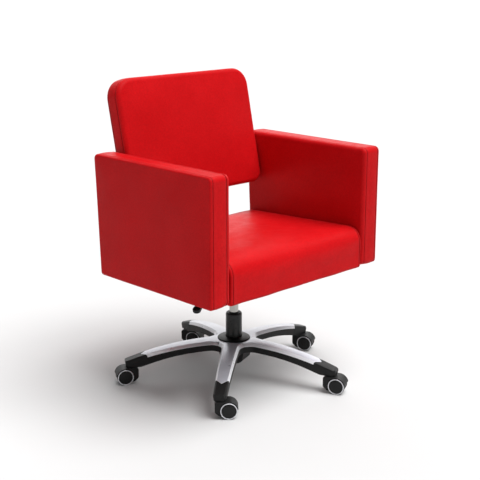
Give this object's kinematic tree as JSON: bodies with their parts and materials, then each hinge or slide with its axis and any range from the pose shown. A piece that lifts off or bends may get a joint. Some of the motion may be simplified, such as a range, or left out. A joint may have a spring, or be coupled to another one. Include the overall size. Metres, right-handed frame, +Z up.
{
  "type": "salon armchair",
  "caption": "Upholstered box-armed salon chair with a leaning back pad, a gas lift with a side lever, and a star base on twin-wheel castors.",
  "frame": {"origin": "on the floor, on the column's swivel axis", "axes": "+Z up along the column, -Y the way the sitter faces, +X to the sitter's left"},
  "size_m": [0.7042, 0.6821, 0.9155],
  "materials": {
    "vinyl": "soft satin grained vinyl",
    "silver_cover": "satin silver",
    "black_nylon": "moulded, slightly textured",
    "black_steel": "semi-gloss black",
    "chromed_steel": "polished",
    "zinc_steel": "zinc plated",
    "hardwood": "bare sawn hardwood",
    "plywood": "bare plywood",
    "castor_wheel": "hard moulded tread"
  },
  "bodies": {
    "base": {"base_frame": "black_nylon", "base_trim": "silver_cover", "hub_collar": "black_nylon", "column_tube": "black_steel", "column_bush": "black_nylon", "thrust_bearing": "zinc_steel", "castor_stem_1": "zinc_steel", "castor_stem_2": "zinc_steel", "castor_stem_3": "zinc_steel", "castor_stem_4": "zinc_steel", "castor_stem_5": "zinc_steel"},
    "spindle": {"piston_rod": "zinc_steel", "rod_clip": "zinc_steel"},
    "seat": {"gas_cylinder": "chromed_steel", "seat_plate": "black_steel", "plate_bolt_1": "zinc_steel", "plate_bolt_2": "zinc_steel", "plate_bolt_3": "zinc_steel", "plate_bolt_4": "zinc_steel", "lever_pin": "zinc_steel", "seat_frame": "hardwood", "seat_board": "plywood", "seat_cushion": "vinyl", "arm_left": "vinyl", "arm_right": "vinyl", "arm_core_left": "hardwood", "arm_core_right": "hardwood", "arm_bolt_left_front": "zinc_steel", "arm_bolt_left_rear": "zinc_steel", "arm_bolt_right_front": "zinc_steel", "arm_bolt_right_rear": "zinc_steel", "backrest_cushion": "vinyl", "backrest_board": "plywood", "back_stud_left_lower": "zinc_steel", "back_stud_left_upper": "zinc_steel", "back_stud_right_lower": "zinc_steel", "back_stud_right_upper": "zinc_steel"},
    "lever": {"lever_rod": "black_steel", "lever_paddle": "black_nylon"},
    "button": {"release_button": "black_nylon"},
    "castor_1": {"castor_hood_1": "black_nylon", "castor_axle_1": "zinc_steel"},
    "wheel_1_a": {"castor_wheel_1_a": "castor_wheel"},
    "wheel_1_b": {"castor_wheel_1_b": "castor_wheel"},
    "castor_2": {"castor_hood_2": "black_nylon", "castor_axle_2": "zinc_steel"},
    "wheel_2_a": {"castor_wheel_2_a": "castor_wheel"},
    "wheel_2_b": {"castor_wheel_2_b": "castor_wheel"},
    "castor_3": {"castor_hood_3": "black_nylon", "castor_axle_3": "zinc_steel"},
    "wheel_3_a": {"castor_wheel_3_a": "castor_wheel"},
    "wheel_3_b": {"castor_wheel_3_b": "castor_wheel"},
    "castor_4": {"castor_hood_4": "black_nylon", "castor_axle_4": "zinc_steel"},
    "wheel_4_a": {"castor_wheel_4_a": "castor_wheel"},
    "wheel_4_b": {"castor_wheel_4_b": "castor_wheel"},
    "castor_5": {"castor_hood_5": "black_nylon", "castor_axle_5": "zinc_steel"},
    "wheel_5_a": {"castor_wheel_5_a": "castor_wheel"},
    "wheel_5_b": {"castor_wheel_5_b": "castor_wheel"}
  },
  "joints": [
    {"name": "seat_swivel", "type": "hinge", "parent": "base", "child": "spindle", "pos_m": [0, 0, 0.0568], "axis": [0, 0, 1], "continuous": true},
    {"name": "seat_height", "type": "slide", "parent": "spindle", "child": "seat", "axis": [0, 0, 1], "range_m": [-0.078, 0.022]},
    {"name": "lever_lift", "type": "hinge", "parent": "seat", "child": "lever", "pos_m": [-0.035, 0, 0.3358], "axis": [0, 1, 0], "range_deg": [0, 6], "stiffness_Nm_per_rad": 1.5},
    {"name": "button_press", "type": "slide", "parent": "seat", "child": "button", "axis": [0, 0, -1], "range_m": [0, 0.004], "stiffness_N_per_m": 200},
    {"name": "castor_swivel_1", "type": "hinge", "parent": "base", "child": "castor_1", "pos_m": [-0.24635, -0.1995, 0.05], "axis": [0, 0, 1], "continuous": true},
    {"name": "wheel_spin_1_a", "type": "hinge", "parent": "castor_1", "child": "wheel_1_a", "pos_m": [-0.22852, -0.21555, 0.025], "axis": [0.6691, 0.7431, 0], "continuous": true},
    {"name": "wheel_spin_1_b", "type": "hinge", "parent": "castor_1", "child": "wheel_1_b", "pos_m": [-0.22852, -0.21555, 0.025], "axis": [0.6691, 0.7431, 0], "continuous": true},
    {"name": "castor_swivel_2", "type": "hinge", "parent": "base", "child": "castor_2", "pos_m": [0.1136, -0.29595, 0.05], "axis": [0, 0, 1], "continuous": true},
    {"name": "wheel_spin_2_a", "type": "hinge", "parent": "castor_2", "child": "wheel_2_a", "pos_m": [0.12412, -0.31752, 0.025], "axis": [0.8988, 0.4384, 0], "continuous": true},
    {"name": "wheel_spin_2_b", "type": "hinge", "parent": "castor_2", "child": "wheel_2_b", "pos_m": [0.12412, -0.31752, 0.025], "axis": [0.8988, 0.4384, 0], "continuous": true},
    {"name": "castor_swivel_3", "type": "hinge", "parent": "base", "child": "castor_3", "pos_m": [0.31657, 0.01659, 0.05], "axis": [0, 0, 1], "continuous": true},
    {"name": "wheel_spin_3_a", "type": "hinge", "parent": "castor_3", "child": "wheel_3_a", "pos_m": [0.32709, -0.00498, 0.025], "axis": [0.8988, 0.4384, 0], "continuous": true},
    {"name": "wheel_spin_3_b", "type": "hinge", "parent": "castor_3", "child": "wheel_3_b", "pos_m": [0.32709, -0.00498, 0.025], "axis": [0.8988, 0.4384, 0], "continuous": true},
    {"name": "castor_swivel_4", "type": "hinge", "parent": "base", "child": "castor_4", "pos_m": [0.08205, 0.3062, 0.05], "axis": [0, 0, 1], "continuous": true},
    {"name": "wheel_spin_4_a", "type": "hinge", "parent": "castor_4", "child": "wheel_4_a", "pos_m": [0.09257, 0.28463, 0.025], "axis": [0.8988, 0.4384, 0], "continuous": true},
    {"name": "wheel_spin_4_b", "type": "hinge", "parent": "castor_4", "child": "wheel_4_b", "pos_m": [0.09257, 0.28463, 0.025], "axis": [0.8988, 0.4384, 0], "continuous": true},
    {"name": "castor_swivel_5", "type": "hinge", "parent": "base", "child": "castor_5", "pos_m": [-0.26586, 0.17265, 0.05], "axis": [0, 0, 1], "continuous": true},
    {"name": "wheel_spin_5_a", "type": "hinge", "parent": "castor_5", "child": "wheel_5_a", "pos_m": [-0.28705, 0.18392, 0.025], "axis": [-0.4695, -0.8829, 0], "continuous": true},
    {"name": "wheel_spin_5_b", "type": "hinge", "parent": "castor_5", "child": "wheel_5_b", "pos_m": [-0.28705, 0.18392, 0.025], "axis": [-0.4695, -0.8829, 0], "continuous": true}
  ],
  "couplings": [
    {"joint": "button_press", "follows": "lever_lift", "m_per_rad": 0.035}
  ]
}
